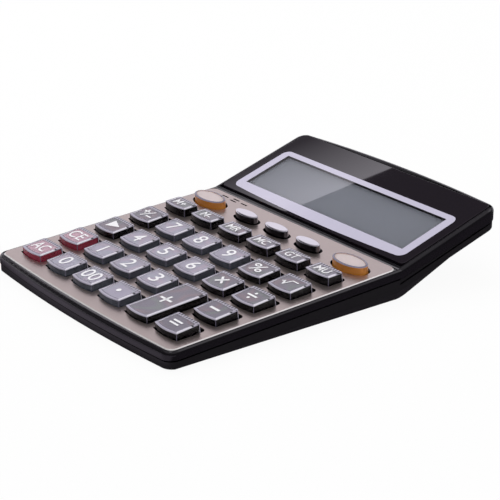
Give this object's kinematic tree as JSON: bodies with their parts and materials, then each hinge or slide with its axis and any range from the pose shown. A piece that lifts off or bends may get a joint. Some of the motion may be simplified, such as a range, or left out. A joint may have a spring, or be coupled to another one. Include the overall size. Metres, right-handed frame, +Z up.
{
  "type": "desk calculator",
  "caption": "Wedge-shaped desk calculator with a brushed metal keypad plate, clear-capped keys that press down, and a raised, tilted display head.",
  "frame": {"origin": "centre of the footprint, on the table under the rubber feet", "axes": "+X to the right across the keypad, +Y from the user towards the display, +Z up"},
  "size_m": [0.148, 0.1966, 0.0344],
  "materials": {
    "key_slate": "clear cap over a slate grey core",
    "key_black": "clear cap over a black core",
    "key_red": "clear cap over a red core",
    "key_orange": "clear cap over an orange core",
    "key_chrome": "polished",
    "case_gloss": "glossy black",
    "case_matte": "fine matt black",
    "plate": "brushed, champagne tint",
    "lens": "clear panel printed black from behind, with a clear window",
    "lcd": "grey liquid crystal panel",
    "frame_plastic": "moulded",
    "screws": "plated",
    "ribbon": "flexible printed strip",
    "mat": "moulded silicone",
    "board": "lacquered circuit board",
    "chip": "moulded package",
    "speaker": "plain",
    "cell": "plain wrapped can",
    "contact": "plated spring sheet",
    "foot": "soft"
  },
  "bodies": {
    "case": {"battery_cell_left": "cell", "battery_cell_right": "cell", "battery_contact_negative": "contact", "battery_contact_positive": "contact", "board_screws": "screws", "controller_chip": "chip", "display_lens": "lens", "display_ribbon": "ribbon", "faceplate": "plate", "housing_screws": "screws", "keypad_mat": "mat", "lcd_holder": "frame_plastic", "lcd_holder_screws": "screws", "lcd_panel": "lcd", "lower_housing": "case_matte", "main_board": "board", "rubber_feet": "foot", "speaker": "speaker", "upper_housing": "case_gloss"},
    "battery_door": {"battery_door": "case_matte"},
    "key_0": {"key_0": "key_slate"},
    "key_00": {"key_00": "key_slate"},
    "key_1": {"key_1": "key_slate"},
    "key_2": {"key_2": "key_slate"},
    "key_3": {"key_3": "key_slate"},
    "key_4": {"key_4": "key_slate"},
    "key_5": {"key_5": "key_slate"},
    "key_6": {"key_6": "key_slate"},
    "key_7": {"key_7": "key_slate"},
    "key_8": {"key_8": "key_slate"},
    "key_9": {"key_9": "key_slate"},
    "key_all_clear": {"key_all_clear": "key_red"},
    "key_arrow": {"key_arrow": "key_black"},
    "key_chrome_1": {"key_chrome_1": "key_chrome"},
    "key_chrome_2": {"key_chrome_2": "key_chrome"},
    "key_chrome_3": {"key_chrome_3": "key_chrome"},
    "key_clear_entry": {"key_clear_entry": "key_red"},
    "key_divide": {"key_divide": "key_black"},
    "key_equals": {"key_equals": "key_black"},
    "key_function_1": {"key_function_1": "key_black"},
    "key_function_2": {"key_function_2": "key_black"},
    "key_function_3": {"key_function_3": "key_black"},
    "key_function_4": {"key_function_4": "key_black"},
    "key_function_5": {"key_function_5": "key_black"},
    "key_function_6": {"key_function_6": "key_black"},
    "key_minus": {"key_minus": "key_black"},
    "key_orange_left": {"key_orange_left": "key_orange"},
    "key_orange_right": {"key_orange_right": "key_orange"},
    "key_percent": {"key_percent": "key_black"},
    "key_plus": {"key_plus": "key_black"},
    "key_point": {"key_point": "key_slate"},
    "key_root": {"key_root": "key_black"},
    "key_sign": {"key_sign": "key_black"},
    "key_times": {"key_times": "key_black"}
  },
  "joints": [
    {"name": "battery_door_slide", "type": "slide", "parent": "case", "child": "battery_door", "axis": [0, 1, 0], "range_m": [0, 0.008]},
    {"name": "key_0_press", "type": "slide", "parent": "case", "child": "key_0", "axis": [0, 0.0523, -0.9986], "range_m": [0, 0.001], "stiffness_N_per_m": 600},
    {"name": "key_00_press", "type": "slide", "parent": "case", "child": "key_00", "axis": [0, 0.0523, -0.9986], "range_m": [0, 0.001], "stiffness_N_per_m": 600},
    {"name": "key_1_press", "type": "slide", "parent": "case", "child": "key_1", "axis": [0, 0.0523, -0.9986], "range_m": [0, 0.001], "stiffness_N_per_m": 600},
    {"name": "key_2_press", "type": "slide", "parent": "case", "child": "key_2", "axis": [0, 0.0523, -0.9986], "range_m": [0, 0.001], "stiffness_N_per_m": 600},
    {"name": "key_3_press", "type": "slide", "parent": "case", "child": "key_3", "axis": [0, 0.0523, -0.9986], "range_m": [0, 0.001], "stiffness_N_per_m": 600},
    {"name": "key_4_press", "type": "slide", "parent": "case", "child": "key_4", "axis": [0, 0.0523, -0.9986], "range_m": [0, 0.001], "stiffness_N_per_m": 600},
    {"name": "key_5_press", "type": "slide", "parent": "case", "child": "key_5", "axis": [0, 0.0523, -0.9986], "range_m": [0, 0.001], "stiffness_N_per_m": 600},
    {"name": "key_6_press", "type": "slide", "parent": "case", "child": "key_6", "axis": [0, 0.0523, -0.9986], "range_m": [0, 0.001], "stiffness_N_per_m": 600},
    {"name": "key_7_press", "type": "slide", "parent": "case", "child": "key_7", "axis": [0, 0.0523, -0.9986], "range_m": [0, 0.001], "stiffness_N_per_m": 600},
    {"name": "key_8_press", "type": "slide", "parent": "case", "child": "key_8", "axis": [0, 0.0523, -0.9986], "range_m": [0, 0.001], "stiffness_N_per_m": 600},
    {"name": "key_9_press", "type": "slide", "parent": "case", "child": "key_9", "axis": [0, 0.0523, -0.9986], "range_m": [0, 0.001], "stiffness_N_per_m": 600},
    {"name": "key_all_clear_press", "type": "slide", "parent": "case", "child": "key_all_clear", "axis": [0, 0.0523, -0.9986], "range_m": [0, 0.001], "stiffness_N_per_m": 600},
    {"name": "key_arrow_press", "type": "slide", "parent": "case", "child": "key_arrow", "axis": [0, 0.0523, -0.9986], "range_m": [0, 0.001], "stiffness_N_per_m": 600},
    {"name": "key_chrome_1_press", "type": "slide", "parent": "case", "child": "key_chrome_1", "axis": [0, 0.0523, -0.9986], "range_m": [0, 0.001], "stiffness_N_per_m": 600},
    {"name": "key_chrome_2_press", "type": "slide", "parent": "case", "child": "key_chrome_2", "axis": [0, 0.0523, -0.9986], "range_m": [0, 0.001], "stiffness_N_per_m": 600},
    {"name": "key_chrome_3_press", "type": "slide", "parent": "case", "child": "key_chrome_3", "axis": [0, 0.0523, -0.9986], "range_m": [0, 0.001], "stiffness_N_per_m": 600},
    {"name": "key_clear_entry_press", "type": "slide", "parent": "case", "child": "key_clear_entry", "axis": [0, 0.0523, -0.9986], "range_m": [0, 0.001], "stiffness_N_per_m": 600},
    {"name": "key_divide_press", "type": "slide", "parent": "case", "child": "key_divide", "axis": [0, 0.0523, -0.9986], "range_m": [0, 0.001], "stiffness_N_per_m": 600},
    {"name": "key_equals_press", "type": "slide", "parent": "case", "child": "key_equals", "axis": [0, 0.0523, -0.9986], "range_m": [0, 0.001], "stiffness_N_per_m": 600},
    {"name": "key_function_1_press", "type": "slide", "parent": "case", "child": "key_function_1", "axis": [0, 0.0523, -0.9986], "range_m": [0, 0.001], "stiffness_N_per_m": 600},
    {"name": "key_function_2_press", "type": "slide", "parent": "case", "child": "key_function_2", "axis": [0, 0.0523, -0.9986], "range_m": [0, 0.001], "stiffness_N_per_m": 600},
    {"name": "key_function_3_press", "type": "slide", "parent": "case", "child": "key_function_3", "axis": [0, 0.0523, -0.9986], "range_m": [0, 0.001], "stiffness_N_per_m": 600},
    {"name": "key_function_4_press", "type": "slide", "parent": "case", "child": "key_function_4", "axis": [0, 0.0523, -0.9986], "range_m": [0, 0.001], "stiffness_N_per_m": 600},
    {"name": "key_function_5_press", "type": "slide", "parent": "case", "child": "key_function_5", "axis": [0, 0.0523, -0.9986], "range_m": [0, 0.001], "stiffness_N_per_m": 600},
    {"name": "key_function_6_press", "type": "slide", "parent": "case", "child": "key_function_6", "axis": [0, 0.0523, -0.9986], "range_m": [0, 0.001], "stiffness_N_per_m": 600},
    {"name": "key_minus_press", "type": "slide", "parent": "case", "child": "key_minus", "axis": [0, 0.0523, -0.9986], "range_m": [0, 0.001], "stiffness_N_per_m": 600},
    {"name": "key_orange_left_press", "type": "slide", "parent": "case", "child": "key_orange_left", "axis": [0, 0.0523, -0.9986], "range_m": [0, 0.001], "stiffness_N_per_m": 600},
    {"name": "key_orange_right_press", "type": "slide", "parent": "case", "child": "key_orange_right", "axis": [0, 0.0523, -0.9986], "range_m": [0, 0.001], "stiffness_N_per_m": 600},
    {"name": "key_percent_press", "type": "slide", "parent": "case", "child": "key_percent", "axis": [0, 0.0523, -0.9986], "range_m": [0, 0.001], "stiffness_N_per_m": 600},
    {"name": "key_plus_press", "type": "slide", "parent": "case", "child": "key_plus", "axis": [0, 0.0523, -0.9986], "range_m": [0, 0.001], "stiffness_N_per_m": 600},
    {"name": "key_point_press", "type": "slide", "parent": "case", "child": "key_point", "axis": [0, 0.0523, -0.9986], "range_m": [0, 0.001], "stiffness_N_per_m": 600},
    {"name": "key_root_press", "type": "slide", "parent": "case", "child": "key_root", "axis": [0, 0.0523, -0.9986], "range_m": [0, 0.001], "stiffness_N_per_m": 600},
    {"name": "key_sign_press", "type": "slide", "parent": "case", "child": "key_sign", "axis": [0, 0.0523, -0.9986], "range_m": [0, 0.001], "stiffness_N_per_m": 600},
    {"name": "key_times_press", "type": "slide", "parent": "case", "child": "key_times", "axis": [0, 0.0523, -0.9986], "range_m": [0, 0.001], "stiffness_N_per_m": 600}
  ]
}
